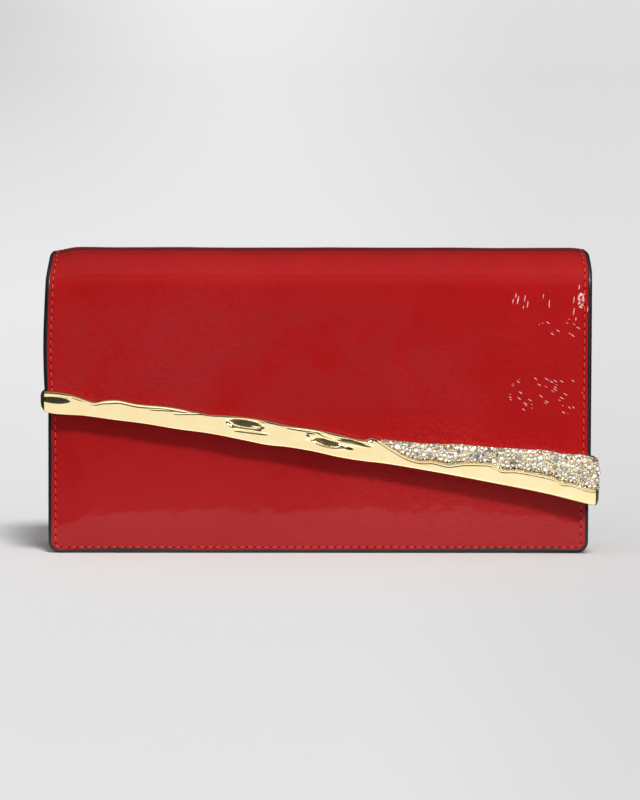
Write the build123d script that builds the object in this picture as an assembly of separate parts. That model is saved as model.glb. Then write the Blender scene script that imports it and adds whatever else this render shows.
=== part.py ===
from build123d import *
import os
from math import cos, sin, tan, radians

os.makedirs("parts", exist_ok=True)

# Clutch purse, millimetres. Front is -Y, +X is to the right, +Z is up, it stands on z = 0.

# ---- driving sizes ----
body_width = 215.0
height = 120.0
body_depth = 36.0
front_height = 104.0
gusset_height = 100.0
corner_radius = 4.5

leather = 1.2
board = 0.7
lining = 0.5

flange_width = 4.0
web_corner = 4.0
base_board_thick = 1.0

flap_width = 216.0
flap_gap = 2.5
rear_shoulder = 12.0
front_shoulder = 14.0
fold_angle = 45.0
fold_slit = 0.1

edge_height = 41.6
edge_slant = 9.85

bar_length = 220.0
bar_depth = 7.0
bar_wall = 1.6
bar_hollow = 3.4
bar_end_radius = 2.2
bar_edge_radius = 1.0
bed_depth = 2.4

stone_radius = 1.25
stone_growth = 0.3
stone_height = 1.6
stone_gap = 0.35
stone_margin = 0.9
first_stone = 34.0

screw_pitch = 49.0
screw_count = 5
screw_radius = 0.95
screw_head_radius = 1.9
screw_head_height = 1.0
screw_bite = 3.0
screw_clearance = 0.2
washer_radius = 2.3
washer_thick = 0.3
boss_radius = 2.2

snap_height = 62.0
cup_radius = 7.0
cup_height = 1.8
cup_wall = 0.7
cup_face = 0.4
cup_hole = 2.7
snap_plate_radius = 6.0
snap_plate_thick = 0.4
stud_radius = 6.5
snap_clearance = 0.1
stud_pin_root = 2.0
stud_pin_tip = 1.5
backing_radius = 7.0
backing_thick = 0.4
leg_offset = 4.2
leg_thick = 0.4
leg_width = 2.6
leg_tab = 2.2
slot_clearance = 0.15

pocket_width = 120.0
pocket_height = 62.0
pocket_bottom = 20.0
pocket_seam = 3.0
pocket_space = 0.6
binding_height = 5.0

# ---- derived sizes ----
laminate = leather + board + lining
half_depth = (body_depth + flap_gap + laminate + bar_depth) / 2
back_y = half_depth
front_y = back_y - body_depth
flap_inner_y = front_y - flap_gap
flap_y = flap_inner_y - laminate
bar_y = flap_y - bar_depth
inside_front = front_y + laminate
inside_back = back_y - laminate
inset = flange_width + leather
rear_centre = (back_y - rear_shoulder, height - rear_shoulder)
front_centre = (flap_y + front_shoulder, height - front_shoulder)
reach = 3 * height
stud_base = flap_gap - cup_height - snap_clearance
stud_pin_length = cup_height - snap_plate_thick

# Each entry: place along the bar (-1 to 1), metal above the flap edge, metal below it.
bar_sections = [
    (-1.00, 4.0, 2.5),
    (-0.90, 4.5, 3.0),
    (-0.81, 3.4, 2.0),
    (-0.74, 5.5, 1.9),
    (-0.50, 6.6, 1.4),
    (-0.25, 7.5, 1.2),
    (0.00, 7.5, 1.1),
    (0.16, 7.0, 1.2),
    (0.38, 8.9, 0.8),
    (0.55, 11.5, 0.8),
    (0.80, 14.5, 1.5),
    (1.00, 16.0, 3.0),
]
# Place along the bar, and how far the ridge below the stones stands above the flap edge.
ridge_sections = [
    (0.22, 9.0),
    (0.29, 4.8),
    (0.36, 2.9),
    (0.46, 3.4),
    (0.60, 6.2),
    (0.68, 5.4),
    (0.82, 5.6),
    (1.02, 3.5),
]


# ---- small helpers ----
def save(shape, name):
    export_step(shape, "parts/" + name + ".step")


def group(solids):
    return Compound(children=solids)


def box(x0, x1, y0, y1, z0, z1):
    middle = Pos((x0 + x1) / 2, (y0 + y1) / 2, (z0 + z1) / 2)
    return middle * Box(x1 - x0, y1 - y0, z1 - z0)


def disc(radius, y0, y1, x=0.0, z=0.0):
    middle = Pos(x, (y0 + y1) / 2, z)
    return middle * Rot(90, 0, 0) * Cylinder(radius, abs(y1 - y0))


def on_front(face, y0, y1):
    """Turn an outline drawn in X and Z into a plate between two Y positions."""
    plate = extrude(face, y1 - y0, dir=(0, 0, 1))
    return Pos(0, y1, 0) * Rot(90, 0, 0) * plate


def edge_z(x):
    """Height of the slanted lower edge of the flap."""
    return edge_height - tan(radians(edge_slant)) * x


def between(sections, place, column):
    """Straight-line reading of one column of a section list."""
    for low, high in zip(sections, sections[1:]):
        if place <= high[0]:
            share = (place - low[0]) / (high[0] - low[0])
            return low[column] + share * (high[column] - low[column])
    return sections[-1][column]


# ---- panel outlines, drawn in X and Z ----
def panel_outline(side, bottom, radius, top, width=body_width):
    half = width / 2 - side
    outline = Pos(0, (bottom + top) / 2) * Rectangle(2 * half, top - bottom)
    low = outline.vertices().sort_by(Axis.Y)[:2]
    return fillet(low, radius)


seam_ring = panel_outline(0, 0, corner_radius, gusset_height)
seam_ring -= panel_outline(inset, inset, web_corner - leather, gusset_height)


# ---- wrap: back panel, top and flap are one run of leather, board and lining ----
def wrap_region(depth):
    low_y = flap_y + depth
    high_y = back_y - depth
    top = height - depth
    region = Pos((low_y + high_y) / 2, top / 2) * Rectangle(high_y - low_y, top)
    corners = region.vertices().sort_by(Axis.Y)[2:].sort_by(Axis.X)
    region = fillet(corners[0], front_shoulder - depth)
    rear = region.vertices().sort_by(Axis.X)[-2:].sort_by(Axis.Y)[-1]
    return fillet(rear, rear_shoulder - depth)


def ray(centre, angle, side):
    """Two points of a cut line through a shoulder centre, moved aside by half a slit."""
    away = (cos(radians(angle)), sin(radians(angle)))
    aside = (-away[1] * side * fold_slit / 2, away[0] * side * fold_slit / 2)
    start = (centre[0] + aside[0], centre[1] + aside[1])
    end = (start[0] + reach * away[0], start[1] + reach * away[1])
    return start, end


def wrap_piece(outer, inner, segment, width):
    """One layer of one segment of the wrap, from depth outer to depth inner."""
    rear_low = ray(rear_centre, fold_angle, -1)
    rear_high = ray(rear_centre, fold_angle, 1)
    front_high = ray(front_centre, 180 - fold_angle, -1)
    front_low = ray(front_centre, 180 - fold_angle, 1)
    if segment == "back":
        corners = [rear_low[0], rear_low[1], (reach, 0), (reach, -1), (rear_low[0][0], -1)]
    elif segment == "top":
        corners = [rear_high[0], rear_high[1], front_high[1], front_high[0]]
    else:
        corners = [front_low[0], front_low[1], (-reach, 0), (-reach, -1), (front_low[0][0], -1)]
    layer = wrap_region(outer) - wrap_region(inner)
    layer = layer & make_face(Polyline(*corners, close=True))
    solid = extrude(layer, width / 2, both=True, dir=(0, 0, 1))
    return Rot(0, 0, 90) * Rot(90, 0, 0) * solid


def fold_point(centre, radius, angle):
    y = centre[0] + radius * cos(radians(angle))
    z = centre[1] + radius * sin(radians(angle))
    return y, z


depths = {
    "leather": (0, leather),
    "board": (leather, leather + board),
    "lining": (leather + board, laminate),
}

# ---- body: front and back panels ----
front_cutter = on_front(seam_ring, front_y + leather, inside_front)
back_cutter = on_front(seam_ring, inside_back, back_y - leather)
rounded_corners = panel_outline(0, 0, corner_radius, 2 * height)
rounded_body = on_front(rounded_corners, -reach, reach)

front_outline = panel_outline(0, 0, corner_radius, front_height)
front_leather = on_front(front_outline, front_y, front_y + leather)
front_board = on_front(front_outline, front_y + leather, front_y + leather + board) - front_cutter
front_lining = on_front(front_outline, inside_front - lining, inside_front) - front_cutter

back_leather = wrap_piece(*depths["leather"], "back", body_width) & rounded_body
back_board = wrap_piece(*depths["board"], "back", body_width) & rounded_body
back_board -= back_cutter
back_lining = wrap_piece(*depths["lining"], "back", body_width) & rounded_body
back_lining -= back_cutter

# ---- body: gusset, one U of leather with its flanges turned outwards ----
web = panel_outline(flange_width, flange_width, web_corner, gusset_height)
web -= panel_outline(inset, inset, web_corner - leather, gusset_height)
gusset_leather = on_front(web, inside_front, inside_back)
gusset_leather += front_cutter
gusset_leather += back_cutter

floor = inset + base_board_thick
lining_radius = web_corner - leather
sleeve = panel_outline(inset, floor, lining_radius, gusset_height)
sleeve -= panel_outline(inset + lining, floor + lining, lining_radius - lining, gusset_height)
gusset_lining = on_front(sleeve, inside_front, inside_back)

board_half = body_width / 2 - inset - lining_radius
base_board = box(-board_half, board_half, inside_front, inside_back, inset, floor)

# ---- body: slip pocket on the back lining ----
pocket_top = pocket_bottom + pocket_height
pocket_face = inside_back - pocket_space - lining
half_pocket = pocket_width / 2
slip_pocket = box(-half_pocket, half_pocket, pocket_face, inside_back, pocket_bottom, pocket_top)
slip_pocket -= box(
    pocket_seam - half_pocket,
    half_pocket - pocket_seam,
    inside_back - pocket_space,
    inside_back + 1,
    pocket_bottom + pocket_seam,
    pocket_top + 1,
)
binding_low = pocket_top - binding_height
slip_pocket_binding = box(
    -half_pocket, half_pocket, pocket_face - lining, pocket_face, binding_low, pocket_top
)


# ---- magnetic snap ----
def legs(face_y, washer_far_y, tab_far_y, outward, grow=0.0):
    """Two flat legs through the panel with their ends folded away from each other."""
    half_w = leg_width / 2 + grow
    solids = None
    for side in (-1, 1):
        near = side * (leg_offset - leg_thick / 2 - grow)
        far = side * (leg_offset + leg_thick / 2 + grow)
        tip = side * (leg_offset + leg_thick / 2 + leg_tab)
        x0, x1 = sorted((near, far))
        y0, y1 = sorted((face_y, tab_far_y))
        leg = box(x0, x1, y0, y1, snap_height - half_w, snap_height + half_w)
        if outward:
            x0, x1 = sorted((near, tip))
            y0, y1 = sorted((washer_far_y, tab_far_y))
            leg += box(x0, x1, y0, y1, snap_height - half_w, snap_height + half_w)
        solids = leg if solids is None else solids + leg
    return solids


cup_y = front_y - cup_height
plate_y = front_y - snap_plate_thick
snap_socket_cup = disc(cup_radius, cup_y, front_y, z=snap_height)
snap_socket_cup -= disc(cup_radius - cup_wall, cup_y + cup_face, front_y + 1, z=snap_height)
snap_socket_cup -= disc(cup_hole, cup_y - 1, front_y, z=snap_height)
cup_rim = snap_socket_cup.edges().filter_by(GeomType.CIRCLE).sort_by(Axis.Y)[:2]
cup_rim = cup_rim.sort_by(SortBy.RADIUS)[-1]
snap_socket_cup = fillet(cup_rim, 0.3)

snap_magnet = disc(snap_plate_radius, cup_y + cup_face, plate_y, z=snap_height)
snap_magnet -= disc(cup_hole + 0.2, cup_y, front_y, z=snap_height)

socket_back_y = front_y + leather
socket_tab_y = socket_back_y + board
socket_washer_y = socket_back_y + backing_thick
snap_socket_plate = disc(snap_plate_radius, plate_y, front_y, z=snap_height)
snap_socket_plate += legs(front_y, socket_washer_y, socket_tab_y, True)
socket_slots = legs(front_y - 1, 0, socket_tab_y, False, slot_clearance)
snap_socket_washer = disc(backing_radius, socket_back_y, socket_washer_y, z=snap_height)
snap_socket_washer -= socket_slots
front_leather -= socket_slots
front_board -= disc(backing_radius + 0.3, front_y, socket_tab_y, z=snap_height)

# ---- flap: top strip and front, each of three layers ----
flap_top_leather = wrap_piece(*depths["leather"], "top", flap_width)
flap_top_board = wrap_piece(*depths["board"], "top", flap_width)
flap_top_lining = wrap_piece(*depths["lining"], "top", flap_width)

left = -flap_width
right = flap_width
below_edge = Polyline(
    (left, -reach), (right, -reach), (right, edge_z(right)), (left, edge_z(left)), close=True
)
below_flap = on_front(make_face(below_edge), -reach, reach)
flap_leather = wrap_piece(*depths["leather"], "flap", flap_width) - below_flap
flap_board = wrap_piece(*depths["board"], "flap", flap_width) - below_flap
flap_lining = wrap_piece(*depths["lining"], "flap", flap_width) - below_flap

stud_y = flap_inner_y + stud_base
stud_washer_y = flap_inner_y - lining - backing_thick
stud_tab_y = flap_inner_y - lining - board
pin = Pos(0, stud_y + stud_pin_length / 2, snap_height) * Rot(-90, 0, 0)
snap_stud = disc(stud_radius, flap_inner_y, stud_y, z=snap_height)
snap_stud += pin * Cone(stud_pin_root, stud_pin_tip, stud_pin_length)
snap_stud += legs(flap_inner_y, stud_washer_y, stud_tab_y, True)
stud_slots = legs(flap_inner_y + 1, 0, stud_tab_y, False, slot_clearance)
snap_stud_washer = disc(backing_radius, stud_washer_y, flap_inner_y - lining, z=snap_height)
snap_stud_washer -= stud_slots
flap_lining -= stud_slots
flap_board -= disc(backing_radius + 0.3, stud_tab_y, flap_inner_y, z=snap_height)


# ---- bar: hollow-backed casting along the slanted edge ----
def bar_x(place):
    return place * bar_length / 2


def bar_top(x):
    return edge_z(x) + between(bar_sections, 2 * x / bar_length, 1)


def bar_low(x):
    return edge_z(x) - between(bar_sections, 2 * x / bar_length, 2)


def ridge_z(x):
    return edge_z(x) + between(ridge_sections, 2 * x / bar_length, 1)


top_points = [(bar_x(p), edge_z(bar_x(p)) + up) for p, up, down in bar_sections]
low_points = [(bar_x(p), edge_z(bar_x(p)) - down) for p, up, down in bar_sections]
bar_outline = make_face(
    [
        Spline(*top_points),
        Line(top_points[-1], low_points[-1]),
        Spline(*reversed(low_points)),
        Line(low_points[0], top_points[0]),
    ]
)
bar_outline = fillet(bar_outline.vertices(), bar_end_radius)
bar_casting = on_front(bar_outline, bar_y, flap_y)
bar_front = bar_casting.faces().sort_by(Axis.Y)[0]
bar_casting = fillet(bar_front.edges(), bar_edge_radius)

ridge_points = [(bar_x(p), edge_z(bar_x(p)) + up) for p, up in ridge_sections]
bed_corner = (ridge_points[-1][0], height)
bed_start = (ridge_points[0][0], height)
bed = make_face(
    [
        Spline(*ridge_points),
        Line(ridge_points[-1], bed_corner),
        Line(bed_corner, bed_start),
        Line(bed_start, ridge_points[0]),
    ]
)
bed_y = bar_y + bed_depth
bar_casting -= on_front(bed, bar_y - 1, bed_y)

hollow_places = [-0.93, -0.81, -0.72, -0.4, 0.0, 0.16, 0.4, 0.6, 0.8, 0.96]
roof = [(bar_x(p), bar_top(bar_x(p)) - bar_wall) for p in hollow_places]
sill = [(bar_x(p), edge_z(bar_x(p)) + bar_wall / 3) for p in hollow_places]
hollow = make_face(Polyline(*roof, *reversed(sill), close=True))
hollow_end = flap_y - bar_hollow
hollow = on_front(hollow, hollow_end, flap_y + 1)

screw_places = []
for number in range(screw_count):
    x = (number - (screw_count - 1) / 2) * screw_pitch
    middle = (bar_top(x) + bar_low(x)) / 2
    lowest = edge_z(x) + washer_radius + 0.3
    screw_places.append((x, max(middle, lowest)))

for x, z in screw_places:
    hollow -= disc(boss_radius, hollow_end - 1, flap_y + 2, x, z)
bar_casting -= hollow
for x, z in screw_places:
    bar_casting -= disc(screw_radius + 0.05, flap_y - screw_bite - 0.2, flap_y + 1, x, z)

# ---- screws and washers that hold the bar to the flap ----
washer_y = flap_inner_y + washer_thick
screws = []
washers = []
for x, z in screw_places:
    hole = disc(screw_radius + screw_clearance, flap_y - 1, washer_y + 1, x, z)
    flap_leather -= hole
    flap_board -= hole
    flap_lining -= hole
    washers.append(disc(washer_radius, flap_inner_y, washer_y, x, z) - hole)
    head = disc(screw_head_radius, washer_y, washer_y + screw_head_height, x, z)
    rim = head.edges().sort_by(Axis.Y)[-1]
    head = fillet(rim, 0.6)
    slot_low = washer_y + screw_head_height / 2
    slot_high = washer_y + 2 * screw_head_height
    slot_half = 2 * screw_head_radius
    head -= box(x - slot_half, x + slot_half, slot_low, slot_high, z - 0.25, z + 0.25)
    screws.append(head + disc(screw_radius, flap_y - screw_bite, washer_y, x, z))

# ---- stones standing on the bed, in columns that follow the top of the bar ----
stones = []
column = 0
x = first_stone
while x < bar_length / 2 - bar_end_radius - stone_radius:
    size = stone_radius + stone_growth * (x - first_stone) / (bar_length / 2 - first_stone)
    pitch = 2 * size + stone_gap
    offset = size + bar_edge_radius / 2
    if column % 2:
        offset += pitch / 2
    z = bar_top(x) - offset
    while z > ridge_z(x) + size + stone_margin:
        stone = Pos(x, bed_y - stone_height / 2, z) * Rot(90, 0, 0)
        stones.append(stone * Cone(size, size * 0.55, stone_height))
        z -= pitch
    x += pitch * 0.9
    column += 1

# ---- write every piece ----
save(front_leather, "front_leather")
save(front_board, "front_board")
save(front_lining, "front_lining")
save(back_leather, "back_leather")
save(back_board, "back_board")
save(back_lining, "back_lining")
save(gusset_leather, "gusset_leather")
save(gusset_lining, "gusset_lining")
save(base_board, "base_board")
save(slip_pocket, "slip_pocket")
save(slip_pocket_binding, "slip_pocket_binding")
save(snap_socket_cup, "snap_socket_cup")
save(snap_magnet, "snap_magnet")
save(snap_socket_plate, "snap_socket_plate")
save(snap_socket_washer, "snap_socket_washer")
save(flap_top_leather, "flap_top_leather")
save(flap_top_board, "flap_top_board")
save(flap_top_lining, "flap_top_lining")
save(flap_leather, "flap_leather")
save(flap_board, "flap_board")
save(flap_lining, "flap_lining")
save(snap_stud, "snap_stud")
save(snap_stud_washer, "snap_stud_washer")
save(bar_casting, "bar_casting")
save(group(screws), "bar_screws")
save(group(washers), "bar_washers")
save(group(stones), "crystals")

print("rear fold at", fold_point(rear_centre, rear_shoulder, fold_angle))
print("front fold at", fold_point(front_centre, front_shoulder, 180 - fold_angle))
print("screws at", screw_places)
print("stones", len(stones))
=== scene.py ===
import bmesh
import bpy
import math
import random
from mathutils import Matrix, Vector, noise


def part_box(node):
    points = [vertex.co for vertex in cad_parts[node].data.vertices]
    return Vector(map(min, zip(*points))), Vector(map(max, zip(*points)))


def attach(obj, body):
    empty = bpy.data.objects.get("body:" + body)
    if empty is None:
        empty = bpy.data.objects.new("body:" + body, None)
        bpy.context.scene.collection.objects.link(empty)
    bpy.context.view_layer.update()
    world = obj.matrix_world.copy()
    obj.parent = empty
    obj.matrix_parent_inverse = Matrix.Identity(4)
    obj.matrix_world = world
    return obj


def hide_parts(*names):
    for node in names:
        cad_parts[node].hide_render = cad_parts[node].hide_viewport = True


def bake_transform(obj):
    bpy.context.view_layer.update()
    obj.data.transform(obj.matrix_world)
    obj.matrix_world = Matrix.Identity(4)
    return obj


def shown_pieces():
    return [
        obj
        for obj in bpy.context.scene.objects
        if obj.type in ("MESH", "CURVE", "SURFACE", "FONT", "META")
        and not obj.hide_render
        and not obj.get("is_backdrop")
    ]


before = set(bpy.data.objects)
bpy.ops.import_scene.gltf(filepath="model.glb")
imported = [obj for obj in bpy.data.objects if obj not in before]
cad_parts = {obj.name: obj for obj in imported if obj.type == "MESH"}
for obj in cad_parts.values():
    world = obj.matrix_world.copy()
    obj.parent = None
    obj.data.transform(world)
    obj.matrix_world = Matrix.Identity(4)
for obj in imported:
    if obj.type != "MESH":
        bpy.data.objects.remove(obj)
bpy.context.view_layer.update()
scene = bpy.context.scene
mm = 0.001


# ------- working in edit mode and with modifiers
def deselectAll():
    if bpy.context.object and bpy.context.object.mode == "EDIT":
        bpy.ops.object.mode_set(mode="OBJECT")
    bpy.ops.object.select_all(action="DESELECT")


def openEdit(piece):
    deselectAll()
    piece.select_set(True)
    bpy.context.view_layer.objects.active = piece
    bpy.ops.object.mode_set(mode="EDIT")
    bpy.ops.mesh.select_mode(type="VERT")


def closeEdit():
    bpy.ops.object.mode_set(mode="OBJECT")


def pick(test):
    # selects the vertices whose place passes the test, and the edges and faces between them
    mesh = bmesh.from_edit_mesh(bpy.context.edit_object.data)
    for vert in mesh.verts:
        vert.select = test(vert.co)
    mesh.select_flush_mode()
    mesh.select_flush(True)
    bmesh.update_edit_mesh(bpy.context.edit_object.data)


def nameIt(name):
    piece = bpy.context.object
    piece.name = name
    piece.data.name = name
    return piece


def useModifier(piece, kind, **settings):
    deselectAll()
    piece.select_set(True)
    bpy.context.view_layer.objects.active = piece
    modifier = piece.modifiers.new(kind, kind)
    for key, value in settings.items():
        setattr(modifier, key, value)
    bpy.ops.object.modifier_apply(modifier=modifier.name)


def bakePlace(piece):
    deselectAll()
    piece.select_set(True)
    bpy.context.view_layer.objects.active = piece
    bpy.ops.object.transform_apply(location=True, rotation=True, scale=True)


def smoothIt(piece, degrees=40):
    deselectAll()
    piece.select_set(True)
    bpy.context.view_layer.objects.active = piece
    bpy.ops.object.shade_smooth_by_angle(angle=math.radians(degrees))


def joinAll(pieces, name):
    deselectAll()
    for piece in pieces:
        piece.select_set(True)
    bpy.context.view_layer.objects.active = pieces[0]
    bpy.ops.object.join()
    return nameIt(name)


def clearCopy(piece, name):
    twin = piece.copy()
    twin.data = piece.data.copy()
    scene.collection.objects.link(twin)
    twin.name = name
    return twin


def moveEach(piece, rule):
    # sculpting by rule: every vertex goes where the rule sends it
    for vert in piece.data.vertices:
        vert.co = rule(vert.co)
    piece.data.update()


def bell(value, width):
    return math.exp(-((value / width) ** 2))


def ease(low, high, value):
    share = min(1, max(0, (value - low) / (high - low)))
    return share * share * (3 - 2 * share)


def readCurve(points, place):
    # smooth reading of a list of (place, value) points
    if place <= points[0][0]:
        return points[0][1]
    if place >= points[-1][0]:
        return points[-1][1]
    last = len(points) - 1
    index = max(i for i in range(last) if points[i][0] <= place)
    x0, y0 = points[index]
    x1, y1 = points[index + 1]
    before = points[max(0, index - 1)]
    after = points[min(last, index + 2)]
    slope0 = (y1 - before[1]) / (x1 - before[0])
    slope1 = (after[1] - y0) / (after[0] - x0)
    span = x1 - x0
    t = (place - x0) / span
    return (
        (2 * t**3 - 3 * t**2 + 1) * y0
        + (t**3 - 2 * t**2 + t) * span * slope0
        + (3 * t**2 - 2 * t**3) * y1
        + (t**3 - t**2) * span * slope1
    )


# ------- shader helpers
class Wire:
    def __init__(self, graph, socket):
        self.graph = graph
        self.socket = socket

    def maths(self, operation, *values):
        sockets = {index: value for index, value in enumerate(values)}
        return self.graph.make("ShaderNodeMath", {"operation": operation}, sockets)

    def __add__(self, other):
        return self.maths("ADD", self, other)

    def __radd__(self, other):
        return self.maths("ADD", other, self)

    def __sub__(self, other):
        return self.maths("SUBTRACT", self, other)

    def __rsub__(self, other):
        return self.maths("SUBTRACT", other, self)

    def __mul__(self, other):
        return self.maths("MULTIPLY", self, other)

    def __rmul__(self, other):
        return self.maths("MULTIPLY", other, self)

    def __truediv__(self, other):
        return self.maths("DIVIDE", self, other)

    def __pow__(self, other):
        return self.maths("POWER", self, other)

    def __abs__(self):
        return self.maths("ABSOLUTE", self)


class Graph:
    def __init__(self, name, sticks=False):
        # a material that sticks reads each point's place at rest, so that it doesn't swim on a bent piece
        self.sticks = sticks
        self.material = bpy.data.materials.new(name)
        self.material.use_nodes = True
        self.tree = self.material.node_tree
        self.shader = self.tree.nodes["Principled BSDF"]

    def make(self, kind, settings=None, sockets=None, output=0):
        node = self.tree.nodes.new(kind)
        for key, value in (settings or {}).items():
            if key == "stops":
                ramp = node.color_ramp
                while len(ramp.elements) < len(value):
                    ramp.elements.new(0.5)
                for element, (place, colour) in zip(ramp.elements, value):
                    element.position = place
                    element.color = colour
            else:
                setattr(node, key, value)
        for key, value in (sockets or {}).items():
            self.feed(node.inputs[key], value)
        return Wire(self, node.outputs[output])

    def feed(self, socket, value):
        if isinstance(value, Wire):
            self.tree.links.new(value.socket, socket)
        else:
            socket.default_value = value

    def surface(self, **values):
        for key, value in values.items():
            self.feed(self.shader.inputs[key.replace("_", " ")], value)
        return self.material

    def place(self, scale=(1, 1, 1), turn=(0, 0, 0)):
        coordinates = self.make("ShaderNodeTexCoord", output="Object")
        if self.sticks:
            coordinates = self.make("ShaderNodeAttribute", {"attribute_name": "rest"}, output="Vector")
        return self.make(
            "ShaderNodeMapping", sockets={"Vector": coordinates, "Scale": scale, "Rotation": turn}
        )

    def noise(self, vector, scale, detail=3.0, rough=0.5, warp=0.0):
        return self.make(
            "ShaderNodeTexNoise",
            sockets={"Vector": vector, "Scale": scale, "Detail": detail, "Roughness": rough,
                     "Distortion": warp},
        )

    def ramp(self, value, low, high):
        return self.make(
            "ShaderNodeMapRange",
            {"interpolation_type": "SMOOTHSTEP"},
            {"Value": value, "From Min": low, "From Max": high},
        )

    def blend(self, factor, first, second):
        # output 2 of a colour Mix node is its Result
        return self.make(
            "ShaderNodeMix", {"data_type": "RGBA"}, {"Factor": factor, 6: first, 7: second}, output=2
        )

    def bump(self, height, strength, distance):
        return self.make(
            "ShaderNodeBump", sockets={"Height": height, "Strength": strength, "Distance": distance}
        )


# ------- sizes read from the frame
frontLow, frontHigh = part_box("front_leather")
_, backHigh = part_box("back_leather")
flapLow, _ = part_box("flap_leather")
_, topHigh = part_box("flap_top_leather")
_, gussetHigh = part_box("gusset_leather")
sleeveLow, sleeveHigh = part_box("gusset_lining")
pocketLow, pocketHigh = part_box("slip_pocket")

wrap = {
    "rearShoulder": 12 * mm,
    "frontShoulder": 14 * mm,
    "leather": 1.2 * mm,
    "board": 0.7 * mm,
    "lining": 0.5 * mm,
    "paintRadius": 1.25 * mm,
    "paintInset": 1.35 * mm,
    "meshStep": 0.9 * mm,
    "foldReach": 8 * mm,
    "edgeHeight": 41.6 * mm,
    "edgeSlant": math.radians(9.85),
}
flapHalf = topHigh.x
bodyHalf = frontHigh.x
laminate = wrap["leather"] + wrap["board"] + wrap["lining"]
rearCentre = Vector((0, backHigh.y - wrap["rearShoulder"], topHigh.z - wrap["rearShoulder"]))
frontCentre = Vector((0, flapLow.y + wrap["frontShoulder"], topHigh.z - wrap["frontShoulder"]))
midTop = (rearCentre.y + frontCentre.y) / 2


def edgeZ(x):
    return wrap["edgeHeight"] - math.tan(wrap["edgeSlant"]) * x


def settle(place):
    # the flap isn't quite square: its left edge bows out and its upper corners droop
    x, y, z = place
    front = ease(2 * mm, -13 * mm, y)
    left = ease(-30 * mm, -107 * mm, x)
    x -= 1.3 * mm * bell(z - 82 * mm, 25 * mm) * left * front
    leftCorner = ease(-95 * mm, -108 * mm, x) * ease(100 * mm, 114 * mm, z)
    rightCorner = ease(101 * mm, 108 * mm, x) * ease(104 * mm, 116 * mm, z)
    z -= 1.6 * mm * leftCorner + 0.6 * mm * rightCorner
    x += 1.2 * mm * leftCorner * ease(108 * mm, 119 * mm, z)
    x -= 0.7 * mm * rightCorner * ease(112 * mm, 120 * mm, z)
    return Vector((x, y, z))


def wrapPoint(distance, x, depth):
    # a point of the wrap and its outward normal, by distance up the back, over the top and down the front
    rear = wrap["rearShoulder"]
    front = wrap["frontShoulder"]
    if distance < rearCentre.z:
        normal = Vector((0, 1, 0))
        point = Vector((x, backHigh.y, distance))
    elif distance < rearCentre.z + rear * math.pi / 2:
        angle = (distance - rearCentre.z) / rear
        normal = Vector((0, math.cos(angle), math.sin(angle)))
        point = Vector((x, rearCentre.y, rearCentre.z)) + normal * rear
    else:
        distance -= rearCentre.z + rear * math.pi / 2
        flat = rearCentre.y - frontCentre.y
        if distance < flat:
            normal = Vector((0, 0, 1))
            point = Vector((x, rearCentre.y - distance, topHigh.z))
        elif distance < flat + front * math.pi / 2:
            angle = math.pi / 2 + (distance - flat) / front
            normal = Vector((0, math.cos(angle), math.sin(angle)))
            point = Vector((x, frontCentre.y, frontCentre.z)) + normal * front
        else:
            normal = Vector((0, -1, 0))
            point = Vector((x, flapLow.y, frontCentre.z - distance + flat + front * math.pi / 2))
    return settle(point - normal * depth), normal


rearRun = rearCentre.z + wrap["rearShoulder"] * math.pi / 2
midRun = rearRun + rearCentre.y - midTop
shoulderEnd = rearRun + rearCentre.y - frontCentre.y + wrap["frontShoulder"] * math.pi / 2


def runAtHeight(z):
    # distance along the wrap at which its front is at height z
    return shoulderEnd + frontCentre.z - z


def crossFold(piece):
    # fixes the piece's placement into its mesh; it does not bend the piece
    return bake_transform(piece)


# ------- leather, board and lining of the wrap: one sheet each, split at the middle of the top
crinkle = {
    "waveSize": 34 * mm,
    "waveDepth": 0.35 * mm,
    "creaseSize": 9 * mm,
    "creaseDepth": 0.10 * mm,
    "ruffleSize": 2.6 * mm,
    "ruffleDepth": 0.04 * mm,
}


def crinkleTexture(name, kind, size, **settings):
    texture = bpy.data.textures.new(name, kind)
    texture.noise_scale = size
    for key, value in settings.items():
        setattr(texture, key, value)
    return texture


waveTexture = crinkleTexture("slowWave", "CLOUDS", crinkle["waveSize"], noise_depth=1)
creaseTexture = crinkleTexture(
    "crease", "VORONOI", crinkle["creaseSize"], weight_1=-1.0, weight_2=1.0, noise_intensity=1.0
)
ruffleTexture = crinkleTexture("ruffle", "CLOUDS", crinkle["ruffleSize"], noise_depth=2)


def addCrinkles(piece, amount=1.0):
    for texture, depth in (
        (waveTexture, "waveDepth"),
        (creaseTexture, "creaseDepth"),
        (ruffleTexture, "ruffleDepth"),
    ):
        useModifier(
            piece, "DISPLACE", texture=texture, strength=crinkle[depth] * amount,
            mid_level=0.5, direction="NORMAL", texture_coords="LOCAL",
        )


def faceOutward(piece, point, normal):
    # turn the sheet over if the face nearest to the point looks the wrong way
    nearest = min(piece.data.polygons, key=lambda face: (face.center - point).length)
    if nearest.normal.dot(normal) < 0:
        openEdit(piece)
        bpy.ops.mesh.select_all(action="SELECT")
        bpy.ops.mesh.flip_normals()
        closeEdit()


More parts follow.
